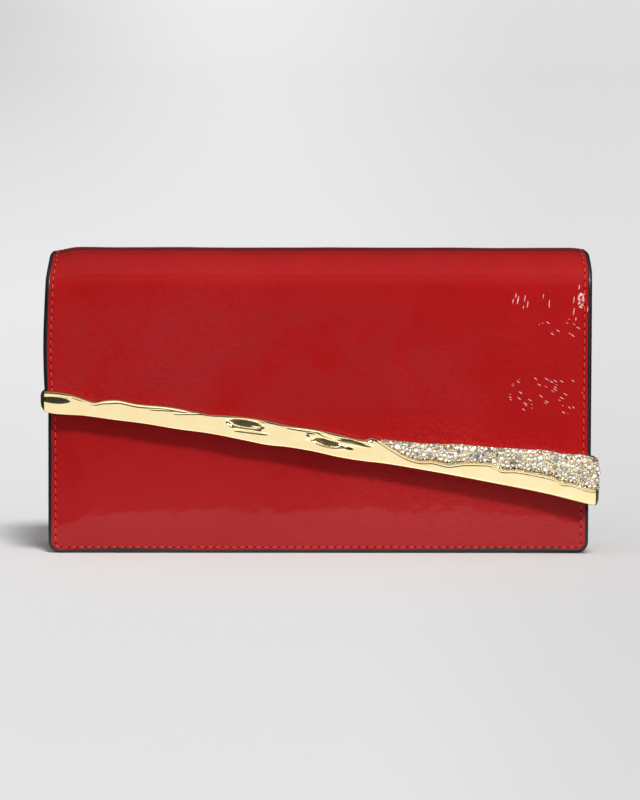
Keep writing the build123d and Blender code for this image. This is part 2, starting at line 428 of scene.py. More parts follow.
def rearSheet(name, depth, half, startZ, step):
    columns = round(2 * half / step)
    bpy.ops.mesh.primitive_grid_add(
        x_subdivisions=columns, y_subdivisions=1, size=1, rotation=(math.pi / 2, 0, 0),
        location=(0, backHigh.y - depth, startZ + step / 2),
    )
    piece = nameIt(name)
    piece.scale = (2 * half, step, 1)
    bakePlace(piece)
    rows = round((rearCentre.z - startZ) / step) - 1
    rise = (rearCentre.z - startZ - step) / rows
    openEdit(piece)
    pick(lambda co: co.z > startZ + step / 2)
    bpy.ops.mesh.extrude_repeat(steps=rows, offset=(0, 0, rise))
    pick(lambda co: co.z > rearCentre.z - step / 4)
    bpy.ops.mesh.spin(steps=18, angle=math.pi / 2, center=rearCentre, axis=(-1, 0, 0))
    pick(lambda co: co.y < rearCentre.y + step / 4)
    rows = round((rearCentre.y - midTop) / step)
    bpy.ops.mesh.extrude_repeat(steps=rows, offset=(0, (midTop - rearCentre.y) / rows, 0))
    closeEdit()
    faceOutward(piece, Vector((0, backHigh.y - depth, startZ)), Vector((0, 1, 0)))
    return piece


def frontSheet(name, depth, half, step):
    columns = round(2 * half / step)
    rows = round((midTop - frontCentre.y) / step)
    bpy.ops.mesh.primitive_grid_add(
        x_subdivisions=columns, y_subdivisions=rows, size=1,
        location=(0, (midTop + frontCentre.y) / 2, topHigh.z - depth),
    )
    piece = nameIt(name)
    piece.scale = (2 * half, midTop - frontCentre.y, 1)
    bakePlace(piece)
    openEdit(piece)
    pick(lambda co: co.y < frontCentre.y + step / 4)
    bpy.ops.mesh.spin(steps=20, angle=math.pi / 2, center=frontCentre, axis=(-1, 0, 0))
    pick(lambda co: co.z < frontCentre.z + step / 4)
    rows = round((frontCentre.z - edgeZ(half)) / step) + 2
    bpy.ops.mesh.extrude_repeat(steps=rows, offset=(0, 0, -step))
    bpy.ops.mesh.select_all(action="SELECT")
    bpy.ops.mesh.bisect(
        plane_co=(0, 0, edgeZ(0) + wrap["paintInset"] / 2),
        plane_no=(-math.sin(wrap["edgeSlant"]), 0, -math.cos(wrap["edgeSlant"])),
        clear_outer=True,
    )
    closeEdit()
    faceOutward(piece, Vector((0, flapLow.y + depth, 0.08)), Vector((0, -1, 0)))
    return piece


def thicken(piece, thick):
    useModifier(piece, "SOLIDIFY", thickness=thick, offset=-1)


leatherHalf = flapHalf - wrap["paintInset"]
print("wrap: leather")
wrapLeather = []
for sheet in (
    rearSheet("backLeather", 0, leatherHalf - 0.4 * mm, 1.2 * mm, wrap["meshStep"]),
    frontSheet("flapLeather", 0, leatherHalf, wrap["meshStep"]),
):
    moveEach(sheet, settle)
    addCrinkles(sheet)
    thicken(sheet, wrap["leather"])
    smoothIt(sheet)
    wrapLeather.append(sheet)
rearLeather, flapLeather = wrapLeather
crossFold(rearLeather)
crossFold(flapLeather)

# ------- board and lining under the leather, above the gusset they join the flap
print("wrap: board and lining")
hiddenStep = 2.4 * mm
coreHalf = leatherHalf - 0.5 * mm
innerLayers = []
for layer, depth, thick, step in (
    ("Board", wrap["leather"], wrap["board"], hiddenStep),
    ("Lining", wrap["leather"] + wrap["board"], wrap["lining"], 1.6 * mm),
):
    rear = rearSheet("rear" + layer, depth, coreHalf - 0.4 * mm, gussetHigh.z + 0.5 * mm, step)
    front = frontSheet("flap" + layer, depth, coreHalf, step)
    for sheet in (rear, front):
        moveEach(sheet, settle)
        thicken(sheet, thick)
        smoothIt(sheet)
        innerLayers.append(sheet)
    crossFold(rear)
    crossFold(front)
rearBoard, flapBoard, rearLining, flapLining = innerLayers

# ------- front panel: padded a little inside its stitch line
frontPanel = {
    "stitchInset": 3.0 * mm,
    "stitchBottom": 2.4 * mm,
    "corner": 4.5 * mm,
    "puff": 0.5 * mm,
}


def roundCorners(place, half, low, corner):
    # pull what lies outside a rounded lower corner back on to its arc
    x, y, z = place
    side = math.copysign(1, x)
    away = Vector((abs(x) - (half - corner), low + corner - z))
    if away.x > 0 and away.y > 0 and away.length > corner:
        away = away.normalized() * corner
        x = side * (half - corner + away.x)
        z = low + corner - away.y
    return Vector((x, y, z))


def uprightSheet(name, half, low, high, y, step, facing=-1):
    columns = round(2 * half / step)
    rows = round((high - low) / step)
    bpy.ops.mesh.primitive_grid_add(
        x_subdivisions=columns, y_subdivisions=rows, size=1, rotation=(math.pi / 2, 0, 0),
        location=(0, y, (low + high) / 2),
    )
    piece = nameIt(name)
    piece.scale = (2 * half, high - low, 1)
    bakePlace(piece)
    faceOutward(piece, Vector((0, y, (low + high) / 2)), Vector((0, facing, 0)))
    return piece


print("front panel")
panelHalf = bodyHalf - wrap["paintInset"]
panelBottom = wrap["paintInset"] * 0.8
panelCorner = frontPanel["corner"] - wrap["paintInset"]
frontLeather = uprightSheet(
    "frontLeather", panelHalf, panelBottom, frontHigh.z - wrap["paintInset"],
    frontLow.y, wrap["meshStep"],
)


def panelRelief(place):
    place = roundCorners(place, panelHalf, panelBottom, panelCorner)
    inward = min(bodyHalf - abs(place.x), place.z, frontHigh.z - place.z)
    place.y -= frontPanel["puff"] * ease(3 * mm, 14 * mm, inward)
    place.y += frontPanel["puff"] * 0.5 * ease(14 * mm, 40 * mm, inward)
    place.y += 0.12 * mm * bell(inward - frontPanel["stitchInset"], 0.9 * mm)
    return place


moveEach(frontLeather, panelRelief)
addCrinkles(frontLeather)
thicken(frontLeather, wrap["leather"])
smoothIt(frontLeather)
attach(frontLeather, "body")

# ------- gusset: a U of leather with its edges turned out behind the two panels
gusset = {
    "web": 4.6 * mm,
    "corner": 3.4 * mm,
    "flangeOut": 3.2 * mm,
    "pinch": 1.9 * mm,
    "crease": 0.7 * mm,
    "thick": 1.2 * mm,
    "step": 1.6 * mm,
}
insideFront = frontLow.y + laminate
insideBack = backHigh.y - laminate
midDepth = (insideFront + insideBack) / 2
halfDepth = (insideBack - insideFront) / 2


def makeU(name, half, low, corner, top, y0, y1, step):
    # a strip that runs down the left side, along the bottom and up the right side
    rows = round((y1 - y0) / step)
    drop = (top - low - corner) / round((top - low - corner) / step)
    bpy.ops.mesh.primitive_grid_add(
        x_subdivisions=1, y_subdivisions=rows, size=1, rotation=(0, math.pi / 2, 0),
        location=(-half, (y0 + y1) / 2, top - drop / 2),
    )
    piece = nameIt(name)
    piece.scale = (drop, y1 - y0, 1)
    bakePlace(piece)
    openEdit(piece)
    pick(lambda co: co.z < top - drop / 2)
    bpy.ops.mesh.extrude_repeat(
        steps=round((top - low - corner) / step) - 1, offset=(0, 0, -drop)
    )
    pick(lambda co: co.z < low + corner + step / 4)
    bpy.ops.mesh.spin(
        steps=6, angle=math.pi / 2, center=(corner - half, 0, low + corner), axis=(0, 1, 0)
    )
    pick(lambda co: co.z < low + 0.02 * mm)
    across = round(2 * (half - corner) / step)
    bpy.ops.mesh.extrude_repeat(steps=across, offset=(2 * (half - corner) / across, 0, 0))
    pick(lambda co: co.x > half - corner - step / 4)
    bpy.ops.mesh.spin(
        steps=6, angle=math.pi / 2, center=(half - corner, 0, low + corner), axis=(0, 1, 0)
    )
    pick(lambda co: co.x > half - 0.02 * mm)
    bpy.ops.mesh.extrude_repeat(
        steps=round((top - low - corner) / step), offset=(0, 0, drop)
    )
    closeEdit()
    return piece


def outwardOfU(place, half, low, corner):
    x, y, z = place
    if z > low + corner:
        return Vector((math.copysign(1, x), 0, 0))
    if abs(x) < half - corner:
        return Vector((0, 0, -1))
    return Vector((x - math.copysign(half - corner, x), 0, z - low - corner)).normalized()


def pinchSides(place):
    # the side walls fold in softly towards the mouth
    x, y, z = place
    side = ease(bodyHalf - 16 * mm, bodyHalf - 8 * mm, abs(x))
    across = (y - midDepth) / halfDepth
    belly = max(0, 1 - across * across) ** 2
    rise = ease(6 * mm, 95 * mm, z) * side
    inward = gusset["pinch"] * belly * rise + gusset["crease"] * bell(y - midDepth, 2.2 * mm) * rise
    return Vector((x - math.copysign(inward, x), y, z))


print("gusset")
webHalf = bodyHalf - gusset["web"]
gussetLeather = makeU(
    "gussetLeather", webHalf, gusset["web"], gusset["corner"], gussetHigh.z - 0.4 * mm,
    insideFront - gusset["thick"] / 2, insideBack + gusset["thick"] / 2, gusset["step"],
)
openEdit(gussetLeather)
for isRim in (
    lambda co: co.y < insideFront - gusset["thick"] / 4,
    lambda co: co.y > insideBack + gusset["thick"] / 4,
):
    for stepOut in (0.3, 0.7):
        if stepOut == 0.3:
            pick(isRim)
        bpy.ops.mesh.extrude_region_move()
        mesh = bmesh.from_edit_mesh(gussetLeather.data)
        for vert in mesh.verts:
            if vert.select:
                out = outwardOfU(vert.co, webHalf, gusset["web"], gusset["corner"])
                vert.co += out * gusset["flangeOut"] * stepOut
        bmesh.update_edit_mesh(gussetLeather.data)
closeEdit()
faceOutward(gussetLeather, Vector((0, midDepth, gusset["web"])), Vector((0, 0, -1)))
moveEach(gussetLeather, pinchSides)
useModifier(gussetLeather, "SUBSURF", levels=1, render_levels=1)
addCrinkles(gussetLeather, 0.5)
useModifier(gussetLeather, "SOLIDIFY", thickness=gusset["thick"], offset=0)
smoothIt(gussetLeather, 50)
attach(gussetLeather, "body")

# ------- lining cloth inside
print("lining")
cloth = {"thick": 0.5 * mm, "step": 1.8 * mm, "wave": 0.12 * mm}
sleeveCloth = makeU(
    "gussetLining", sleeveHigh.x - cloth["thick"] / 2, sleeveLow.z + cloth["thick"] / 2, 2.5 * mm,
    sleeveHigh.z - 0.4 * mm, insideFront + 0.1 * mm, insideBack - 0.1 * mm, cloth["step"],
)
faceOutward(sleeveCloth, Vector((0, midDepth, sleeveLow.z)), Vector((0, 0, -1)))
moveEach(sleeveCloth, pinchSides)
useModifier(sleeveCloth, "SOLIDIFY", thickness=cloth["thick"], offset=0)
smoothIt(sleeveCloth)

clothHalf = sleeveHigh.x - 0.2 * mm
frontCloth = uprightSheet(
    "frontLining", clothHalf, sleeveLow.z, frontHigh.z - 0.8 * mm, insideFront,
    cloth["step"], 1,
)
backCloth = uprightSheet(
    "backLining", clothHalf, sleeveLow.z, gussetHigh.z + 1.2 * mm, insideBack, cloth["step"], -1
)
for piece in (frontCloth, backCloth):
    useModifier(
        piece, "DISPLACE", texture=waveTexture, strength=cloth["wave"], mid_level=1.0,
        direction="NORMAL", texture_coords="LOCAL",
    )
    thicken(piece, cloth["thick"])
    smoothIt(piece)

pocket = {"gape": 1.1 * mm, "seam": 0.55 * mm, "thick": 0.5 * mm, "bindingRadius": 0.75 * mm}
pocketCloth = uprightSheet(
    "slipPocketCloth", pocketHigh.x, pocketLow.z, pocketHigh.z, insideBack - pocket["seam"],
    cloth["step"], -1,
)


def pocketRelief(place):
    across = 1 - (place.x / pocketHigh.x) ** 2
    up = ease(pocketLow.z, pocketHigh.z, place.z)
    place.y -= pocket["gape"] * across * up
    place.z -= 1.2 * mm * across * up * ease(pocketHigh.z - 20 * mm, pocketHigh.z, place.z)
    return place


moveEach(pocketCloth, pocketRelief)
thicken(pocketCloth, pocket["thick"])
smoothIt(pocketCloth)
for piece in (sleeveCloth, frontCloth, backCloth, pocketCloth):
    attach(piece, "body")


# ------- tubes along lines: painted edges, binding
def tubeAlong(name, points, radius, closed=False, sides=3):
    curve = bpy.data.curves.new(name, "CURVE")
    curve.dimensions = "3D"
    line = curve.splines.new("POLY")
    line.points.add(len(points) - 1)
    for knot, point in zip(line.points, points):
        knot.co = (*point, 1)
    line.use_cyclic_u = closed
    curve.bevel_depth = radius
    curve.bevel_resolution = sides
    curve.use_fill_caps = not closed
    piece = bpy.data.objects.new(name, curve)
    scene.collection.objects.link(piece)
    deselectAll()
    piece.select_set(True)
    bpy.context.view_layer.objects.active = piece
    bpy.ops.object.convert(target="MESH")
    openEdit(piece)
    bpy.ops.mesh.select_all(action="SELECT")
    bpy.ops.mesh.remove_doubles(threshold=0.01 * mm)
    bpy.ops.mesh.normals_make_consistent(inside=False)
    closeEdit()
    smoothIt(piece, 60)
    return piece


def steps(start, end, step):
    count = max(1, round(abs(end - start) / step))
    return [start + (end - start) * index / count for index in range(count + 1)]


def arc(centre, radius, first, last, count=6):
    # points in X and Z, angles in degrees
    turns = [math.radians(first + (last - first) * index / count) for index in range(count + 1)]
    return [
        Vector((centre.x + radius * math.cos(t), centre.y, centre.z + radius * math.sin(t)))
        for t in turns
    ]


def panelLoop(y, half, low, high, corner, step):
    # round a panel from its upper left to its upper right corner, through the bottom
    points = [Vector((-half, y, z)) for z in steps(high, low + corner, step)]
    points += arc(Vector((corner - half, y, low + corner)), corner, 180, 270)[1:]
    points += [Vector((x, y, low)) for x in steps(corner - half, half - corner, step)][1:]
    points += arc(Vector((half - corner, y, low + corner)), corner, 270, 360)[1:]
    points += [Vector((half, y, z)) for z in steps(low + corner, high, step)][1:]
    return points


print("painted edges")
paint = wrap["paintInset"]
beadHalf = bodyHalf - paint + 0.1 * mm
beadLow = wrap["paintRadius"]
beadCorner = frontPanel["corner"] - paint
frontBead = tubeAlong(
    "frontEdgePaint",
    panelLoop(
        frontLow.y + laminate / 2, beadHalf, beadLow, frontHigh.z - wrap["paintRadius"],
        beadCorner, 2 * mm,
    ),
    wrap["paintRadius"], closed=True,
)
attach(frontBead, "body")

flapBeadHalf = flapHalf - wrap["paintRadius"]
midLaminate = laminate / 2
leftUp = [
    wrapPoint(run, -beadHalf, midLaminate)[0]
    for run in steps(midRun, beadLow + beadCorner, 1.5 * mm)
]
backY = backHigh.y - midLaminate
backLoop = leftUp[:-1]
backLoop += arc(Vector((beadCorner - beadHalf, backY, beadLow + beadCorner)), beadCorner, 180, 270)
backLoop += [
    Vector((x, backY, beadLow)) for x in steps(beadCorner - beadHalf, beadHalf - beadCorner, 2 * mm)
][1:-1]
backLoop += arc(Vector((beadHalf - beadCorner, backY, beadLow + beadCorner)), beadCorner, 270, 360)
backLoop += [
    wrapPoint(run, beadHalf, midLaminate)[0]
    for run in steps(beadLow + beadCorner, midRun, 1.5 * mm)
][1:]
rearBead = tubeAlong("rearEdgePaint", backLoop, wrap["paintRadius"])
crossFold(rearBead)

flapLoop = [
    wrapPoint(run, -flapBeadHalf, midLaminate)[0]
    for run in steps(midRun, runAtHeight(edgeZ(-flapBeadHalf) + 1 * mm), 1.5 * mm)
]
flapLoop += [
    settle(Vector((x, flapLow.y + midLaminate, edgeZ(x) + wrap["paintRadius"])))
    for x in steps(1 * mm - flapBeadHalf, flapBeadHalf - 1 * mm, 2 * mm)
]
flapLoop += [
    wrapPoint(run, flapBeadHalf, midLaminate)[0]
    for run in steps(runAtHeight(edgeZ(flapBeadHalf) + 1 * mm), midRun, 1.5 * mm)
]
flapBead = tubeAlong("flapEdgePaint", flapLoop, wrap["paintRadius"])
crossFold(flapBead)

mouthBeads = []
for side in (-1, 1):
    line = [
        pinchSides(Vector((side * (webHalf - 0.3 * mm), y, gussetHigh.z - 0.7 * mm)))
        for y in steps(insideFront + 0.2 * mm, insideBack - 0.2 * mm, 1.2 * mm)
    ]
    mouthBeads.append(tubeAlong("gussetEdge", line, 0.95 * mm))
gussetBead = joinAll(mouthBeads, "gussetEdgePaint")
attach(gussetBead, "body")

bindingLine = [
    pocketRelief(Vector((x, insideBack - pocket["seam"] - pocket["thick"] / 4, pocketHigh.z)))
    for x in steps(-pocketHigh.x, pocketHigh.x, 2 * mm)
]
pocketBinding = tubeAlong("pocketBinding", bindingLine, pocket["bindingRadius"])
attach(pocketBinding, "body")
print("edges done")

# ------- finishes
finish = {
    "red": (0.296, 0.0024, 0.0028, 1),
    "deepRed": (0.268, 0.0022, 0.0028, 1),
    # the next two reds are painted sheen: paler, hazier reds for the key light's soft reflection
    "paintedSheen": (0.248, 0.0075, 0.0085, 1),
    "lowPaintedSheen": (0.286, 0.0070, 0.0085, 1),
    # painted sheen: a paler, hazier red for the folds catching the light
    "creasePaintedSheen": (0.335, 0.0100, 0.0115, 1),
    "glint": (0.95, 0.50, 0.47, 1),
    "sheen": 0.52,
    "creaseSheen": 0.24,
    "coatSheen": 0.06,
    "coat": 0.7,
    "netDepth": 0.12 * mm,
    "creaseDepth": 0.5 * mm,
    "thread": (0.62, 0.045, 0.035, 1),
    "threadDark": (0.42, 0.014, 0.014, 1),
    "paint": (0.007, 0.005, 0.006, 1),
    "lining": (0.013, 0.010, 0.011, 1),
    "liningWeft": (0.040, 0.030, 0.032, 1),
    "board": (0.23, 0.20, 0.165, 1),
    "boardDark": (0.15, 0.125, 0.10, 1),
    "gold": (1.0, 0.80, 0.43, 1),
    "paleGold": (1.0, 0.84, 0.49, 1),
    "steel": (0.62, 0.62, 0.60, 1),
    "steelDark": (0.44, 0.44, 0.43, 1),
    "magnet": (0.17, 0.17, 0.18, 1),
    "magnetDark": (0.09, 0.09, 0.10, 1),
}


def region(graph, places, centre, reach):
    # 1 at the centre of one area of the leather, 0 outside its reach along x, y and z
    away = graph.make("ShaderNodeVectorMath", {"operation": "SUBTRACT"}, {0: places, 1: centre})
    shrink = tuple(1 / size for size in reach)
    shrunk = graph.make("ShaderNodeVectorMath", {"operation": "MULTIPLY"}, {0: away, 1: shrink})
    length = graph.make("ShaderNodeVectorMath", {"operation": "LENGTH"}, {0: shrunk}, output=1)
    return graph.ramp(length, 1.0, 0.4)


def net(graph, places, scale, turn, warp, width):
    # a net of fine folds: the borders of stretched cells, bent by noise
    drift = graph.make(
        "ShaderNodeTexNoise", sockets={"Vector": places, "Scale": scale * 0.5, "Detail": 2.0}, output=1
    )
    bent = graph.make(
        "ShaderNodeVectorMath", {"operation": "MULTIPLY_ADD"},
        {0: drift, 1: (warp, warp, warp), 2: places},
    )
    turned = graph.make(
        "ShaderNodeMapping", sockets={"Vector": bent, "Rotation": turn, "Scale": (1, 1, 1.9)}
    )
    cell = graph.make(
        "ShaderNodeTexVoronoi", {"feature": "DISTANCE_TO_EDGE"}, {"Vector": turned, "Scale": scale}
    )
    return graph.ramp(cell, 0.0, width)


def dashes(graph, lean, along, across, size):
    # short sharp folds that all lean one way: flattened spots scattered in stretched space
    stretched = graph.make(
        "ShaderNodeMapping",
        sockets={"Vector": graph.place((1, 1, 1), (0, lean, 0)), "Scale": (1 / along, 0, 1 / across)},
    )
    spot = graph.make("ShaderNodeTexVoronoi", sockets={"Vector": stretched, "Scale": 1.0})
    return graph.ramp(spot, size, size * 0.4)


def makePatent():
    graph = Graph("patentLeather", sticks=True)
    places = graph.place()
    mottle = graph.noise(places, 34, 6, 0.68, 0.4)
    colour = graph.blend(graph.ramp(mottle, 0.36, 0.62), finish["deepRed"], finish["red"])
    # painted sheen: a paler, hazier red is painted over the flap and the lower front panel for the soft
    # reflection of the key light
    paintedSheen = region(graph, places, (-0.04, -0.017, 0.076), (0.17, 0.02, 0.042))
    colour = graph.blend(paintedSheen * graph.ramp(mottle, 0.35, 0.62), colour, finish["paintedSheen"])
    low = region(graph, places, (0.03, -0.0125, 0.018), (0.2, 0.0035, 0.062))
    colour = graph.blend(low * graph.ramp(mottle, 0.15, 0.6), colour, finish["lowPaintedSheen"])
    lower = region(graph, places, (0.05, -0.012, 0.028), (0.075, 1, 0.03))
    corner = region(graph, places, (0.09, -0.017, 0.082), (0.04, 1, 0.04))
    upright = dashes(graph, math.radians(-8), 0.0012, 0.0070, 0.25)
    slanting = dashes(graph, math.radians(-33), 0.0044, 0.0010, 0.24)
    glints = [
        ((0.0850, -0.017, 0.1020), (0.0110, 0.003, 0.0050), upright),
        ((0.1030, -0.017, 0.1005), (0.0052, 0.003, 0.0085), upright),
        ((0.0965, -0.017, 0.0905), (0.0135, 0.003, 0.0048), slanting),
        ((0.0900, -0.017, 0.0640), (0.0175, 0.003, 0.0105), slanting),
    ]
    blot = graph.ramp(graph.noise(places, 700, 2), 0.4, 0.5)
    sharp = region(graph, places, (0.1035, -0.017, 0.1015), (0.0016, 0.003, 0.0036)) * blot
    for centre, reach, lines in glints:
        sharp = sharp.maths("MAXIMUM", sharp, region(graph, places, centre, reach) * lines)
    spread = graph.ramp(graph.noise(places, 16, 2), 0.46, 0.6)
    wide = net(graph, places, 250, (0, 0.5, 0), 0.004, 0.22)
    fine = net(graph, places, 520, (0, -0.7, 0), 0.002, 0.3)
    everywhere = spread * 0.5 + lower * 1.1 + corner * 0.2 + 0.16
    pebble = graph.noise(places, 1500, 2) * 0.05
    height = (wide * 0.6 + fine * 0.4) * everywhere + pebble
    small = graph.bump(height, 0.8, finish["netDepth"])
    # painted sheen: the fold net is painted a paler, hazier red where its folds catch the light
    colour = graph.blend(height * 0.5, colour, finish["creasePaintedSheen"])
    strong = graph.make(
        "ShaderNodeBump",
        sockets={"Height": sharp, "Strength": 1.0, "Distance": finish["creaseDepth"], "Normal": small},
    )
    smudge = graph.ramp(graph.noise(places, 60, 4, 0.65), 0.35, 0.7)
    dull = smudge * 0.08 + finish["sheen"]
    shiny = graph.ramp(sharp, 0.05, 0.3)
    rough = dull * (1 - shiny) + shiny * finish["creaseSheen"]
    colour = graph.blend(shiny * 0.8, colour, finish["glint"])
    return graph.surface(
        Base_Color=colour, Roughness=rough, Normal=strong, Coat_Weight=finish["coat"],
        Specular_IOR_Level=0.07,
        Coat_Roughness=finish["coatSheen"], Coat_IOR=1.45, IOR=1.45,
    )


def makeCloth(name, warp, weft, threads, sheen):
    # twill: warp and weft run diagonally over each other
    graph = Graph(name, sticks=True)
    places = graph.place()
    x, y, z = [
        graph.make("ShaderNodeSeparateXYZ", sockets={"Vector": places}, output=axis)
        for axis in range(3)
    ]
    diagonal = (x + z + y * 0.7) * threads
    diagonal = diagonal.maths("SINE", diagonal)
    across = (x - z + y * 0.3) * (threads * 2.3)
    across = across.maths("SINE", across)
    weaveAndGlow = diagonal * 0.35 + across * 0.15 + 0.5
    slub = graph.noise(places, 320, 3, 0.6)
    colour = graph.blend(weaveAndGlow * 0.8 + slub * 0.3, warp, weft)
    return graph.surface(
        Base_Color=colour, Roughness=graph.ramp(slub, 0.2, 0.9) * 0.25 + 0.5,
        Normal=graph.bump(weaveAndGlow, 0.5, 0.08 * mm), Sheen_Weight=sheen, Sheen_Roughness=0.4,
    )


def makePlain(name, first, second, scale, rough, roughSwing, depth, **more):
    graph = Graph(name, sticks=True)
    places = graph.place()
    broad = graph.noise(places, scale, 4, 0.6)
    fine = graph.noise(places, scale * 7, 3, 0.6)
    colour = graph.blend(graph.ramp(broad, 0.35, 0.65), first, second)
    return graph.surface(
        Base_Color=colour, Roughness=broad * roughSwing + rough,
        Normal=graph.bump(broad * 0.5 + fine * 0.5, 0.5, depth), **more,
    )


def makeBoard():
    graph = Graph("fibreBoard")
    fibres = graph.noise(graph.place((1, 1, 9), (0, 0.3, 0)), 420, 5, 0.7, 0.6)
    flecks = graph.ramp(graph.noise(graph.place((9, 1, 1)), 300, 4, 0.7, 0.5), 0.5, 0.62)
    colour = graph.blend(fibres * 0.6 + flecks * 0.4, finish["board"], finish["boardDark"])
    return graph.surface(
        Base_Color=colour, Roughness=fibres * 0.2 + 0.7, Normal=graph.bump(fibres, 0.5, 0.1 * mm)
    )


def makeGold(name, rough, hammer):
    graph = Graph(name)
    places = graph.place()
    cast = graph.noise(places, 130, 2, 0.5, 0.3)
    pores = graph.noise(places, 1900, 3, 0.6)
    wipe = graph.ramp(graph.noise(graph.place((1, 1, 4), (0, 0.17, 0)), 220, 4, 0.6), 0.35, 0.7)
    colour = graph.blend(graph.ramp(cast, 0.35, 0.65), finish["gold"], finish["paleGold"])
    return graph.surface(
        Base_Color=colour, Metallic=1.0, Roughness=wipe * 0.06 + rough,
        Normal=graph.bump(cast * 0.9 + pores * 0.05, 0.5, hammer),
    )


def makeBrushed(name, first, second, rough, scale):
    # turned metal: fine rings with a little wear
    graph = Graph(name)
    lines = graph.noise(graph.place((1, 1, 12)), scale, 4, 0.6)
    wear = graph.ramp(graph.noise(graph.place(), 260, 3), 0.4, 0.65)
    colour = graph.blend(lines, first, second)
    return graph.surface(
        Base_Color=colour, Metallic=1.0, Roughness=lines * 0.12 + wear * 0.08 + rough,
        Normal=graph.bump(lines, 0.25, 0.02 * mm),
    )


def makeStoneFinish():
    # foil-backed cut glass: it mirrors the room from its facets, some stones clear and some champagne
    graph = Graph("cutGlass")
    tint = graph.make("ShaderNodeAttribute", {"attribute_name": "tint"}, output=2)
    facing = graph.make("ShaderNodeLayerWeight", sockets={"Blend": 0.4}, output=1)
    colour = graph.make(
        "ShaderNodeValToRGB",
        {"stops": [(0.0, (0.99, 0.96, 0.88, 1)), (0.45, (0.96, 0.90, 0.76, 1)),
                   (0.75, (0.99, 0.99, 0.98, 1)), (1.0, (0.80, 0.71, 0.55, 1))]},
        {"Fac": tint},
    )
    # painted shade: facets seen edge-on are painted a darker brown
    facetShadeColour = graph.blend(facing * 0.45, colour, (0.30, 0.27, 0.22, 1))
    return graph.surface(
        Base_Color=facetShadeColour, Metallic=graph.ramp(tint, 0.0, 1.0) * 0.1 + 0.82,
        Roughness=graph.ramp(tint, 0.2, 1.4) * 0.06 + 0.04, Coat_Weight=0.6, Coat_Roughness=0.02,
    )


print("materials")
patentLeather = makePatent()
edgePaint = makePlain(
    "edgePaint", finish["paint"], (0.015, 0.006, 0.008, 1), 210, 0.36, 0.15, 0.08 * mm, Coat_Weight=0.2
)
threadFinish = makePlain(
    "waxedThread", finish["thread"], finish["threadDark"], 900, 0.34, 0.2, 0.06 * mm
)
# painted shade: dark red blobs stand for the shade in the needle holes
paintedHoleShade = makePlain(
    "needleHole", (0.11, 0.0015, 0.002, 1), (0.16, 0.002, 0.003, 1), 900, 0.7, 0.2, 0.04 * mm,
    Specular_IOR_Level=0.1,
)
liningFinish = makeCloth("liningTwill", finish["lining"], finish["liningWeft"], 5200, 0.08)
fibreBoard = makeBoard()
castGold = makeGold("castGold", 0.07, 0.05 * mm)
beadGold = makeGold("beadGold", 0.16, 0.05 * mm)
steelFinish = makeBrushed("nickelledSteel", finish["steel"], finish["steelDark"], 0.2, 700)
magnetFinish = makeBrushed("magnetFerrite", finish["magnet"], finish["magnetDark"], 0.38, 900)
stoneFinish = makeStoneFinish()

# ------- stitches
thread = {
    "pitch": 3.2 * mm,
    "length": 2.3 * mm,
    "width": 0.5 * mm,
    "height": 0.5 * mm,
    "holeLength": 1.1 * mm,
    "holeWidth": 0.6 * mm,
    "holeHeight": 0.34 * mm,
    "inset": 3.0 * mm,
}


def keepRest(piece):
    # remembers where each vertex was at rest
    rest = piece.data.attributes.new("rest", "FLOAT_VECTOR", "POINT")
    places = [value for vert in piece.data.vertices for value in vert.co]
    rest.data.foreach_set("vector", places)


def makeStitch(name, material, length, width, height):
    bpy.ops.mesh.primitive_uv_sphere_add(
        segments=8, ring_count=6, radius=0.5, location=(0, 0, 0), rotation=(0, math.pi / 2, 0)
    )
    piece = nameIt(name)
    bakePlace(piece)
    piece.scale = (length, width, height)
    bakePlace(piece)
    piece.data.materials.append(material)
    return piece


def sew(name, line):
    # line is a list of (point, outward normal); stitches and the holes between them follow it. Each hole
    # is a dark blob, painted shade in a needle hole
    copies = []
    walked = 0.0
    wanted = thread["pitch"] / 2
    shapes = [stitch, hole]
    for (point, normal), (nextPoint, nextNormal) in zip(line, line[1:]):
        gap = (nextPoint - point).length
        while wanted < walked + gap:
            share = (wanted - walked) / gap
            spot = point.lerp(nextPoint, share)
            along = (nextPoint - point).normalized()
            up = normal.lerp(nextNormal, share).normalized()
            across = up.cross(along).normalized()
            along = (along + 0.09 * across).normalized()
            across = up.cross(along).normalized()
            turn = Matrix((along, across, up)).transposed().to_4x4()
            copy = clearCopy(shapes[0], name)
            copy.data.transform(Matrix.Translation(spot) @ turn)
            copies.append(copy)
            shapes.reverse()
            wanted += thread["pitch"] / 2
        walked += gap
    piece = joinAll(copies, name)
    smoothIt(piece, 80)
    keepRest(piece)
    return piece


print("stitches")
stitch = makeStitch("stitch", threadFinish, thread["length"], thread["width"], thread["height"])
hole = makeStitch("hole", paintedHoleShade, thread["holeLength"], thread["holeWidth"], thread["holeHeight"])
forward = Vector((0, -1, 0))
seamHalf = bodyHalf - thread["inset"]
frontLine = panelLoop(
    frontLow.y, seamHalf, frontPanel["stitchBottom"], frontHigh.z - 4 * mm, 1.5 * mm, 1 * mm
)
frontStitches = sew("frontStitches", [(point, forward) for point in frontLine])
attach(frontStitches, "body")

runs = steps(midRun, thread["inset"] + 1.5 * mm, 1 * mm)
backLine = [wrapPoint(run, -seamHalf, 0) for run in runs]
backLine += [
    (Vector((x, backHigh.y, frontPanel["stitchBottom"] + 0.4 * mm)), Vector((0, 1, 0)))
    for x in steps(1.5 * mm - seamHalf, seamHalf - 1.5 * mm, 1 * mm)
]
backLine += [wrapPoint(run, seamHalf, 0) for run in reversed(runs)]
backStitches = sew("backStitches", backLine)
crossFold(backStitches)

flapSeamHalf = flapHalf - thread["inset"]
flapSides = []
for side in (-1, 1):
    x = side * flapSeamHalf
    ends = steps(midRun, runAtHeight(edgeZ(x) + thread["inset"]), 1 * mm)
    flapSides.append(sew("flapStitches", [wrapPoint(run, x, 0) for run in ends]))
flapStitches = joinAll(flapSides, "flapStitches")
crossFold(flapStitches)
bpy.data.objects.remove(stitch)
bpy.data.objects.remove(hole)

